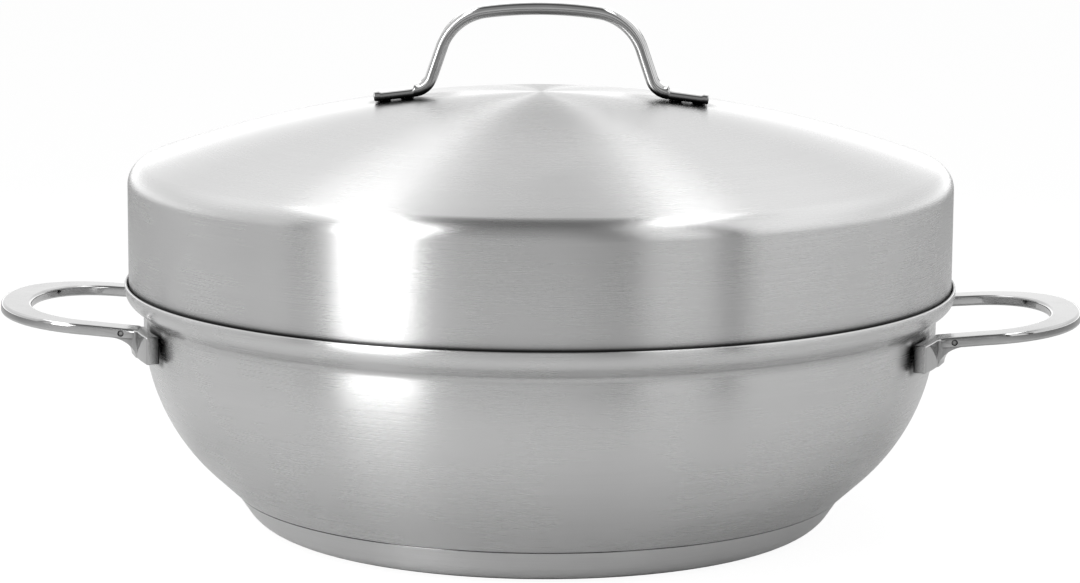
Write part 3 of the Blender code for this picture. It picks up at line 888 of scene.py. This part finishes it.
@dataclass
class SideHandles:
    """Two flat bands bent to loops, each on two feet that reach out along the pan's wall."""

    pan: PanBody
    drop: float = 0.0132
    overhang: float = 0.0436
    half_width: float = 0.0434
    nose: float = 0.0364
    fullness: float = 2.2
    tip_band: float = 0.0104
    leg_band: float = 0.0090
    thickness: float = 0.0037
    edge: float = 0.0011
    rise: float = radians(4)
    splay: float = radians(6)
    plate: float = 0.0045
    plate_height: float = 0.0093
    plate_drop: float = 0.0004
    plate_wing: float = 0.0147
    plate_edge: float = 0.0005
    plate_corner: float = 0.0035
    plate_gap: float = 0.0007
    stud: float = 0.003
    gusset: float = 0.0100
    gusset_inset: float = 0.0004
    dimple: float = 0.0012
    dimple_depth: float = 0.0007
    dimple_out: float = 0.0034

    @property
    def nose_start(self) -> float:
        """X where the legs give way to the rounded end."""
        return self.pan.lip_radius + self.overhang - self.nose

    @property
    def back(self) -> float:
        """Radius of the feet's faces towards the wall."""
        return self.pan.radius + self.plate_gap

    def leg_side(self, x: float, inset: float) -> float:
        """How far out a leg's outer side lies at x, less an inset."""
        return self.half_width - inset + (self.nose_start - x) * tan(self.splay)

    def leg_meets(self, radius: float, inset: float) -> Point:
        """Where a line along a leg crosses a circle round the pan's axis.

        Args:
            radius: of the circle.
            inset: how far inside the leg's outer side.

        Returns:
            The crossing, on the +Y side.
        """
        slope = tan(self.splay)
        start = self.leg_side(0, inset)
        x = (start * slope + sqrt(radius**2 * (1 + slope**2) - start**2)) / (1 + slope**2)
        return x, self.leg_side(x, inset)

    def _band_side(self, half_width: float, nose: float, leg_end: float) -> list[Point]:
        """One edge of the band, from leg end to leg end round the nose.

        Args:
            half_width: at the start of the nose.
            nose: length of the nose.
            leg_end: X of the leg's end.

        Returns:
            The edge's points.
        """
        steps = 26
        power = 2 / self.fullness
        turns = [QUARTER * step / steps for step in range(steps)]
        half = [(leg_end, half_width + (self.nose_start - leg_end) * tan(self.splay))]
        half += [(self.nose_start + nose * sin(a) ** power, half_width * cos(a) ** power) for a in turns]
        return half + [(self.nose_start + nose, 0.0)] + [(x, -y) for x, y in reversed(half)]

    def band(self) -> Piece:
        """The bent band, tilted up towards its tip.

        Returns:
            The band as an object.
        """
        leg_end = self.leg_meets(self.back + self.plate / 2, self.leg_band / 2)[0]
        outer = self._band_side(self.half_width, self.nose, leg_end)
        inner = self._band_side(self.half_width - self.leg_band, self.nose - self.tip_band, leg_end)
        return object_from(slab(outer + inner[::-1], self.thickness, self.edge, 5), "band", self.tilt())

    def leg_at_plate(self) -> Point:
        """Where a leg's middle line meets its plate's face."""
        return self.leg_meets(self.back + self.plate, self.leg_band / 2)

    def tilt(self) -> Matrix:
        """The band's rise about the place where it leaves its feet."""
        x = self.leg_at_plate()[0]
        return Matrix.Translation((x, 0, 0)) @ Matrix.Rotation(-self.rise, 4, "Y") @ Matrix.Translation((-x, 0, 0))

    def foot_outline(self) -> list[Point]:
        """One foot from above: a plate along the wall, a hollow corner, and a stub under the leg.

        Returns:
            The closed outline of the +Y foot.
        """
        steps, kept = 12, 8
        face = self.back + self.plate
        inner_inset = self.leg_band - self.gusset_inset
        inner = self.leg_meets(self.back, inner_inset)
        start = atan2(inner[1], inner[0])
        corner = self.leg_meets(face, self.gusset_inset)
        stop = atan2(corner[1], corner[0])
        tip_x = corner[0] + self.gusset + self.leg_band / 4
        tip = (tip_x, self.leg_side(tip_x, self.gusset_inset))
        swing = stop + self.plate_wing / face
        turns = [start + (swing - start) * step / steps for step in range(steps + 1)]
        outline = [(self.back * cos(a), self.back * sin(a)) for a in turns]
        ahead = [swing + (stop - swing) * step / steps for step in range(kept)]
        front = [(face * cos(a), face * sin(a)) for a in ahead]
        hollow = rounded(Vector(front[-1]), Vector(corner), Vector(tip), self.plate_corner)
        return outline + front + hollow + [tip, (tip_x, self.leg_side(tip_x, inner_inset))]

    def _towards_leg(self, out: float, height: float, turn: Matrix) -> Matrix:
        """A place on the spoke from the pan's axis to a foot, at a distance and height, turned first."""
        x, y = self.leg_at_plate()
        return Matrix.Rotation(atan2(y, x), 4, "Z") @ Matrix.Translation((out, 0, height)) @ turn

    def _sweep(self) -> Piece:
        """What is cut away under the leg, so that the gusset sweeps up from the foot to the band.

        Returns:
            The cutter as an object.
        """
        steps = 16
        bottom = self.thickness / 2 - self.plate_drop - self.plate_height
        under = -self.thickness / 4
        turns = [QUARTER * step / steps for step in range(steps + 1)]
        curve = [(self.gusset * (1 - cos(a)), bottom + (under - bottom) * sin(a)) for a in turns]
        past, low = 2 * self.gusset, bottom - self.plate_height
        shape = slab([(0, low)] + curve + [(past, under), (past, low)], 4 * self.leg_band)
        place = self._towards_leg(self.back + self.plate, 0, Matrix.Rotation(QUARTER, 4, "X"))
        return object_from(shape, "sweep", place)

    def foot(self) -> Piece:
        """The +Y foot of the +X handle.

        Returns:
            The foot with its stud, as an object.
        """
        middle = self.thickness / 2 - self.plate_drop - self.plate_height / 2
        shape = slab(self.foot_outline(), self.plate_height, self.plate_edge)
        foot = object_from(shape, "foot", Matrix.Translation((0, 0, middle)))
        height = self.pan.lip_top - self.drop + middle
        wall = self.pan.outer_radius(max(self.pan.bowl_height - height, 0))
        length = self.back + self.plate / 2 - wall - self.pan.clearance
        out = wall + self.pan.clearance + length / 2
        place = self._towards_leg(out, middle, Matrix.Rotation(QUARTER, 4, "Y"))
        return carved(foot, [object_from(rod(self.stud, length, 32), "stud", place)], [self._sweep()])

    def _dimple(self, side: int) -> Piece:
        """A small ball at the outer side of a leg, to be pressed into it.

        Args:
            side: 1 for the +Y leg, and -1 for the other.

        Returns:
            The ball as an object.
        """
        x, y = self.leg_at_plate()
        out = self.leg_band / 2 + self.dimple - self.dimple_depth
        place = (
            self.tilt()
            @ Matrix.Translation((x, side * y, 0))
            @ Matrix.Rotation(-side * self.splay, 4, "Z")
            @ Matrix.Translation((self.dimple_out, side * out, 0))
        )
        shape = bmesh.new()
        ops.create_uvsphere(shape, u_segments=24, v_segments=14, radius=self.dimple, matrix=place)
        return object_from(shape, "dimple")

    def build(self) -> None:
        """Makes both handles."""
        foot = self.foot()
        mirrored = placed("foot_mirrored", foot.data.copy())
        mirrored.data.transform(Matrix.Scale(-1, 4, (0, 1, 0)))
        mirrored.data.flip_normals()
        handle = carved(self.band(), [foot, mirrored], [self._dimple(1), self._dimple(-1)])
        for name, turn in (("side_handle_right", 0.0), ("side_handle_left", pi)):
            mesh = handle.data.copy()
            lift = Matrix.Translation((0, 0, self.pan.lip_top - self.drop))
            mesh.transform(lift @ Matrix.Rotation(turn, 4, "Z"))
            piece = placed(name + "_polished", mesh)
            even_normals(piece)
            settle(piece, Finish.HANDLE, Body.PAN, Slot.POLISHED, name)
        bpy.data.objects.remove(handle, do_unlink=True)


# The lid


@dataclass
class LidShell:
    """The tall lid: a shallow dome, a rounded shoulder and a skirt tucked into the pan's lip."""

    pan: PanBody
    wall: float = 0.0008
    fit: float = 0.0005
    rise: float = 0.0650
    dome: float = 0.407
    shoulder: float = 0.008
    tuck: float = radians(45)

    @property
    def dome_height(self) -> float:
        """Height of the middle of the dome's sphere."""
        return self.pan.lip_top + self.rise - self.dome

    def build(self) -> None:
        """Makes the turned shell."""
        tucked = self.pan.lip_round - self.pan.wall - self.fit
        shoulder_radius = self.pan.lip_radius - self.pan.lip_round + tucked - self.shoulder
        above = sqrt((self.dome - self.shoulder) ** 2 - shoulder_radius**2)
        meeting = atan2(above, shoulder_radius)
        side = Contour(0.0, self.dome_height + self.dome, 0.0)
        side.bend(self.dome, meeting - QUARTER, 28)
        side.bend(self.shoulder, -meeting, 20)
        side.run(side.y - self.pan.lip_height)
        side.bend(tucked, -self.tuck, 8)
        shell = object_from(lathe(side.shell(self.wall, 6, edge_first=False)), "lid_shell_turned")
        settle(shell, Finish.LID, Body.LID, Slot.BRUSHED, "lid_shell")


@dataclass
class LidHandle:
    """The arched strap, its feet pressed thinner and stud-welded to the dome."""

    lid: LidShell
    width: float = 0.010
    thickness: float = 0.0042
    edge: float = 0.0018
    end_edge: float = 0.0004
    gap: float = 0.0003
    foot_reach: float = 0.05025
    foot_length: float = 0.0142
    foot_press: float = 0.0013
    end_press: float = 0.0009
    ramp: float = 0.0008
    foot_lip: float = 0.0018
    foot_bend: float = 0.0066
    steepness: float = radians(71.2)
    leg: float = 0.01083
    corner: float = 0.0188
    crown_turn: float = radians(7.8)
    stud: float = 0.002
    stud_flare: float = 1.15
    stud_spread: float = 0.004

    @property
    def stand_off(self) -> float:
        """Radius of the feet's middle line about the middle of the dome."""
        return self.lid.dome + self.gap + self.thickness / 2

    @property
    def slope(self) -> float:
        """How steeply the dome falls away under the feet."""
        return asin(self.foot_reach / self.stand_off)

    def _section(self, place: Vector) -> BMesh:
        """The rim of the strap, a rounded rectangle that faces along X.

        Args:
            place: its middle.

        Returns:
            The open rim.
        """
        shape = bmesh.new()
        ops.create_grid(shape, x_segments=1, y_segments=1, size=0.5)
        ops.scale(shape, vec=(self.thickness, self.width, 1), verts=shape.verts)
        ops.bevel(
            shape, geom=list(shape.verts), offset=self.edge, offset_type="OFFSET", segments=5, profile=0.5,
            affect="VERTICES", material=-1,
        )
        upright = Matrix.Translation(place) @ Matrix.Rotation(-QUARTER, 4, "Y")
        ops.transform(shape, matrix=upright, verts=shape.verts)
        ops.delete(shape, geom=list(shape.faces), context="FACES_ONLY")
        return shape

    def strap(self) -> None:
        """Draws one half of the strap from its crown to its foot, and mirrors it."""
        slope = self.slope
        beyond = (
            self.corner * (sin(self.steepness) - sin(self.crown_turn)) + self.leg * cos(self.steepness)
            + self.foot_bend * (sin(self.steepness) - sin(slope)) + self.foot_length / 2 * cos(slope)
        )
        crown = (self.foot_reach - beyond) / sin(self.crown_turn)
        rise = (
            crown * (1 - cos(self.crown_turn))
            + self.corner * (cos(self.crown_turn) - cos(self.steepness)) + self.leg * sin(self.steepness)
            + self.foot_bend * (cos(slope) - cos(self.steepness)) + self.foot_length / 2 * sin(slope)
        )
        start = Vector((0, 0, self.lid.dome_height + self.stand_off * cos(slope) + rise))
        bar = Drawn(self._section(start), start, thickness=self.thickness)
        bar.bend(crown, -self.crown_turn, 8)
        bar.bend(self.corner, self.crown_turn - self.steepness, 28)
        bar.run(self.leg)
        bar.bend(self.foot_bend, self.steepness - slope, 18)
        bar.run(self.ramp, self.foot_press)
        bar.run(self.foot_length - 2 * self.ramp - self.foot_lip)
        bar.run(self.ramp, self.end_press)
        bar.run(self.foot_lip)
        bar.close(self.end_edge)
        bar.doubled()
        strap = bar.finished("lid_handle_strap")
        even_normals(strap)
        settle(strap, Finish.HANDLE, Body.LID, Slot.POLISHED, "lid_handle")

    def studs(self) -> None:
        """Makes the weld studs between the feet and the dome."""
        shape = bmesh.new()
        length = self.gap + self.thickness / 4
        for side in (1, -1):
            for shift in (self.stud_spread, -self.stud_spread):
                place = (
                    Matrix.Translation((0, 0, self.lid.dome_height))
                    @ Matrix.Rotation(side * (self.slope + shift / self.lid.dome), 4, "Y")
                    @ Matrix.Translation((0, 0, self.lid.dome + length / 2))
                )
                ops.create_cone(
                    shape, cap_ends=True, segments=32, radius1=self.stud * self.stud_flare,
                    radius2=self.stud, depth=length, matrix=place,
                )
        piece = object_from(shape, "lid_handle_studs")
        settle(piece, Finish.HANDLE, Body.LID, Slot.POLISHED)

    def build(self) -> None:
        """Makes the strap and its weld studs."""
        self.strap()
        self.studs()


# What lies inside


@dataclass
class DripTray:
    """A pressed dish that rests on the bowl with four tabs, and lets the smoke by between them."""

    pan: PanBody
    wall: float = 0.0008
    height: float = 0.038
    depth: float = 0.010
    flange: float = 0.0105
    brow: float = 0.002
    heel: float = 0.004
    steepness: float = radians(72)
    tabs: int = 4
    tab_turn: float = radians(20)
    tab_length: float = 0.009
    tab_corner: float = 0.005

    def gap_outline(self, edge: float) -> list[Point]:
        """The gap between two tabs from above, about the X axis.

        Args:
            edge: radius of the tabs' ends.

        Returns:
            The closed outline, which runs out past the tray.
        """
        steps, trimmed = 30, 3
        half = pi / self.tabs - self.tab_turn / 2
        across, past = edge - self.tab_length, edge + self.tab_length
        turns = [half * (step / steps - 1) for step in range(2 * steps + 1)]
        floor = [Vector((across * cos(a), across * sin(a))) for a in turns]
        inside = floor[trimmed:-trimmed]
        low_tip = Vector((past * cos(half), -past * sin(half)))
        high_tip = Vector((low_tip.x, -low_tip.y))
        low = rounded(low_tip, floor[0], inside[0], self.tab_corner)
        high = rounded(inside[-1], floor[-1], high_tip, self.tab_corner)
        return [tuple(low_tip), *low, *(tuple(p) for p in inside), *high, tuple(high_tip), (past * 1.3, 0.0)]

    def build(self) -> None:
        """Makes the pressed dish and cuts the gaps between its tabs."""
        edge = self.pan.seat_radius(self.height)
        bends = (self.brow + self.heel) * (1 - cos(self.steepness))
        side = Contour(edge, self.height, pi)
        side.run(self.flange)
        side.bend(self.brow, self.steepness, 8)
        side.run((self.depth - bends) / sin(self.steepness))
        side.bend(self.heel, -self.steepness, 10)
        side.run(side.x)
        dish = object_from(lathe(side.shell(self.wall, 4), 192), "drip_tray_pressed")
        cuts = []
        for index in range(self.tabs):
            shape = slab(self.gap_outline(edge), 6 * self.wall)
            turn = Matrix.Rotation(tau * index / self.tabs, 4, "Z")
            cuts.append(object_from(shape, "gap", turn @ Matrix.Translation((0, 0, self.height))))
        settle(carved(dish, [], cuts), Finish.TRAY, Body.TRAY, Slot.TRAY, "drip_tray")


@dataclass
class WireRack:
    """A round rack of welded wires with two lifting lugs."""

    pan: PanBody
    height: float = 0.050
    ring_wire: float = 0.004
    bar_wire: float = 0.0025
    bar_end: float = 0.0005
    bars: int = 15
    bar_margin: float = 0.0214
    overhang: float = 0.0010
    cross_wire: float = 0.003
    cross_end: float = 0.0003
    cross_inset: float = 0.0699
    lug_wire: float = 0.003
    lug_span: float = 0.042
    lug_height: float = 0.019
    lug_corner: float = 0.007
    sides: int = 20

    @property
    def ring_radius(self) -> float:
        """Radius of the ring wire's middle line."""
        return self.pan.seat_radius(self.height, self.ring_wire / 2)

    @property
    def ring_top(self) -> float:
        """Height of the ring's upper side."""
        return self.height + self.ring_wire / 2

    def _settle(self, piece: Piece, name: str) -> None:
        """Dresses the wire that stands for a node of the rack."""
        settle(piece, Finish.WIRE, Body.RACK, Slot.WIRE, name)

    def ring(self) -> None:
        """The ring that the other wires are welded to."""
        radius = self.ring_wire / 2
        turns = [tau * side / self.sides for side in range(self.sides + 1)]
        chain = [(self.ring_radius + radius * cos(a), self.height + radius * sin(a)) for a in turns]
        self._settle(object_from(lathe(chain, 192), "rack_ring_wire"), "rack_ring")

    def _straight(self, name: str, wire: float, reach: float, middle: Vector, axis: str, end: float) -> None:
        """Makes a straight wire of the rack.

        Args:
            name: the node that it stands for.
            wire: its thickness.
            reach: half its length.
            middle: its middle.
            axis: the axis that turns it from upright to lying.
            end: radius of its end edges.
        """
        place = Matrix.Translation(middle) @ Matrix.Rotation(QUARTER, 4, axis)
        self._settle(object_from(rod(wire / 2, 2 * reach, self.sides, end), name + "_wire", place), name)

    def straight_wires(self) -> None:
        """The parallel bars and the two wires under them."""
        bar_height = self.ring_top + self.pan.clearance + self.bar_wire / 2
        for index in range(self.bars):
            y = (self.ring_radius - self.bar_margin) * (2 * index / (self.bars - 1) - 1)
            reach = sqrt(self.ring_radius**2 - y**2) + self.overhang
            name = f"rack_bar_{index + 1:02d}"
            self._straight(name, self.bar_wire, reach, Vector((0, y, bar_height)), "Y", self.bar_end)
        inside = self.ring_radius - self.ring_wire / 2 - self.pan.clearance
        out = self.ring_radius - self.cross_inset
        reach = sqrt(inside**2 - (out + self.cross_wire / 2) ** 2)
        for name, side in (("rack_cross_bar_right", 1), ("rack_cross_bar_left", -1)):
            middle = Vector((side * out, 0, self.ring_top - self.cross_wire / 2))
            self._straight(name, self.cross_wire, reach, middle, "X", self.cross_end)

    def lugs(self) -> None:
        """The two lifting lugs that stand on the ring."""
        y = sqrt(self.ring_radius**2 - (self.lug_span / 2) ** 2)
        for name, side in (("rack_lug_front", -1), ("rack_lug_back", 1)):
            start = Vector((-self.lug_span / 2, side * y, self.ring_top + self.pan.clearance))
            section = bmesh.new()
            ops.create_circle(
                section, cap_ends=True, segments=self.sides, radius=self.lug_wire / 2,
                matrix=Matrix.Translation(start),
            )
            wire = Drawn(section, start, QUARTER)
            wire.run(self.lug_height - self.lug_corner)
            wire.bend(self.lug_corner, -QUARTER, 10)
            wire.run(self.lug_span - 2 * self.lug_corner)
            wire.bend(self.lug_corner, -QUARTER, 10)
            wire.run(self.lug_height - self.lug_corner)
            wire.close()
            self._settle(wire.finished(name + "_wire"), name)

    def build(self) -> None:
        """Makes every wire of the rack."""
        self.ring()
        self.straight_wires()
        self.lugs()


# The studio


@dataclass(frozen=True)
class Softbox:
    """A soft lamp that faces the object. Azimuth 0 is in front of it, and more of it goes to the right.

    Its watts are for each square metre at a radiance of 1.
    """

    name: str
    azimuth: float
    elevation: float
    distance: float
    width: float
    height: float
    radiance: float
    aim: float = 0.1
    watts: float = 4.0

    def build(self) -> None:
        """Hangs the lamp."""
        data = bpy.data.lights.new(self.name, "AREA")
        data.shape = "RECTANGLE"
        data.size = self.width
        data.size_y = self.height
        data.energy = self.radiance * self.watts * self.width * self.height
        turn, up = radians(self.azimuth), radians(self.elevation)
        away = Vector((sin(turn) * cos(up), -cos(turn) * cos(up), sin(up)))
        lamp = placed(self.name, data)
        lamp.location = Vector((0, 0, self.aim)) + away * self.distance
        lamp.rotation_mode = "QUATERNION"
        lamp.rotation_quaternion = away.to_track_quat("Z", "Y")
        lamp.visible_camera = False


@dataclass(frozen=True)
class Panel:
    """An upright panel far away, which shows only in the metal. Its azimuth and widths are in degrees."""

    azimuth: float
    half_width: float
    softness: float
    low: float
    high: float
    foot: float = 0.05
    top: float = 0.45

    def over(self, nodes: Nodes, level: Socket, turn: Socket, height: Socket) -> Socket:
        """Lays the panel over what lies behind it.

        Args:
            nodes: the world's node builder.
            level: brightness behind the panel.
            turn: azimuth of the direction, in radians.
            height: its Z, from -1 to 1.

        Returns:
            The brightness with the panel.
        """
        off = nodes.maths("ABSOLUTE", nodes.maths("SUBTRACT", turn, radians(self.azimuth)))
        inner = radians(self.half_width)
        mask = nodes.spread(off, Ramp(inner + radians(self.softness), inner))
        return nodes.mix(mask, level, nodes.spread(height, Ramp(self.foot, self.top, self.low, self.high)))


@dataclass
class Studio:
    """A pale floor, plain light, and the photograph's point of view.

    The ramps give the surroundings' brightness: behind the object by height, in front of it from left to right,
    and how the front gives way to the back and the walls to the ceiling.
    """

    lens: float = 122.73
    sensor: float = 36.0
    distance: float = 1.256
    height: float = 0.2916
    pitch: float = radians(9.59)
    roll: float = radians(0.386)
    yaw: float = radians(1.4)
    floor_size: float = 6.0
    floor_drop: float = 0.0001
    # Painted pool of light: the floor's colour is lighter near the object and darker further off, by metres from
    # its middle.
    floor_light_pool: Ramp = Ramp(0.2, 0.9, 0.78, 0.40)
    floor_glow: float = 1.1
    floor_glow_share: float = 0.86
    back_low: Ramp = Ramp(0.07, 0.20, 1.7, 1.08)
    back_high: Ramp = Ramp(0.4, 0.65, 0.0, 0.3)
    front: Ramp = Ramp(-0.2, 0.85, 0.95, 1.4)
    front_to_back: Ramp = Ramp(-0.1, 0.35)
    walls_to_ceiling: Ramp = Ramp(0.8, 0.95)
    ceiling: float = 0.16
    on_matte: float = 0.62
    lamps: tuple[Softbox, ...] = (
        Softbox("left softbox", -42.0, 20.0, 1.6, 0.60, 1.6, 4.0),
        Softbox("left boom", -99.0, 63.0, 1.5, 1.2, 0.36, 2.4),
        Softbox("right boom", 98.0, 69.0, 1.5, 1.2, 0.24, 3.0),
    )
    panels: tuple[Panel, ...] = (
        Panel(-2.0, 28.5, 1.5, 0.80, 0.42),
        Panel(20.0, 1.0, 9.0, 0.45, 0.30),
        Panel(26.0, 1.6, 1.5, 0.0, 0.05),
        Panel(54.8, 3.4, 1.2, 0.0, 0.05),
        Panel(-66.0, 2.5, 4.0, 0.45, 0.45),
    )

    def camera(self) -> None:
        """Puts the camera where the photograph was taken from."""
        data = bpy.data.cameras.new("camera")
        data.lens = self.lens
        data.sensor_width = self.sensor
        data.clip_start, data.clip_end = 0.05, 50.0
        camera = placed("camera", data)
        camera.matrix_world = (
            Matrix.Rotation(self.yaw, 4, "Z")
            @ Matrix.Translation((0, -self.distance, self.height))
            @ Matrix.Rotation(QUARTER - self.pitch, 4, "X")
            @ Matrix.Rotation(self.roll, 4, "Z")
        )
        bpy.context.scene.camera = camera

    def floor(self) -> None:
        """Lays a pale floor, which the camera sees as nearly white."""
        shape = bmesh.new()
        ops.create_grid(shape, x_segments=1, y_segments=1, size=self.floor_size)
        floor = object_from(shape, "floor", Matrix.Translation((0, 0, -self.floor_drop)))
        material = bpy.data.materials.new("pale floor")
        material.use_nodes = True
        nodes = Nodes(material.node_tree)
        nodes.tree.nodes.remove(nodes.tree.nodes["Principled BSDF"])
        rays = nodes.add("ShaderNodeLightPath")
        reach = nodes.vector("LENGTH", nodes.add("ShaderNodeTexCoord").outputs["Object"]).outputs["Value"]
        # Painted pool of light on the floor, lighter near the object and darker further off.
        matte = nodes.add("ShaderNodeBsdfDiffuse", {"Color": nodes.spread(reach, self.floor_light_pool)})
        white = nodes.add("ShaderNodeEmission", {"Color": grey(1.0), "Strength": self.floor_glow})
        share = nodes.maths("MULTIPLY", rays.outputs["Is Camera Ray"], self.floor_glow_share)
        mixed = nodes.add("ShaderNodeMixShader", {0: share, 1: matte.outputs[0], 2: white.outputs[0]})
        nodes.link(mixed.outputs[0], nodes.tree.nodes["Material Output"].inputs["Surface"])
        floor.data.materials.append(material)

    def world(self) -> None:
        """Surrounds the object with white, and with panels that only its metal shows."""
        world = bpy.data.worlds.new("studio")
        bpy.context.scene.world = world
        world.use_nodes = True
        nodes = Nodes(world.node_tree)
        rays = nodes.add("ShaderNodeLightPath")
        towards = nodes.add("ShaderNodeTexCoord").outputs["Generated"]
        x, y, z = nodes.add("ShaderNodeSeparateXYZ", {0: towards}).outputs
        turn = nodes.maths("ARCTAN2", x, nodes.maths("MULTIPLY", y, -1.0))
        back = nodes.maths("ADD", nodes.spread(z, self.back_low), nodes.spread(z, self.back_high))
        level = nodes.mix(nodes.spread(y, self.front_to_back), nodes.spread(x, self.front), back)
        for panel in self.panels:
            level = panel.over(nodes, level, turn, z)
        level = nodes.mix(nodes.spread(z, self.walls_to_ceiling), level, self.ceiling)
        level = nodes.maths("MAXIMUM", level, rays.outputs["Is Camera Ray"])
        level = nodes.mix(rays.outputs["Is Diffuse Ray"], level, self.on_matte)
        background = nodes.tree.nodes["Background"]
        background.inputs["Color"].default_value = grey(1.0)
        nodes.link(level, background.inputs["Strength"])

    def build(self) -> None:
        """Sets up the whole studio."""
        bpy.context.scene.view_settings.view_transform = "Standard"
        self.floor()
        self.world()
        for lamp in self.lamps:
            lamp.build()
        self.camera()


def main() -> None:
    """Builds the smoker in its studio, part by part."""
    logging.basicConfig(level=logging.INFO, format="%(message)s")
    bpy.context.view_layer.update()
    pan = PanBody()
    shell = LidShell(pan)
    for part in (pan, SideHandles(pan), shell, LidHandle(shell), DripTray(pan), WireRack(pan), Studio()):
        part.build()
    bpy.context.view_layer.update()


if __name__ == "__main__":
    main()
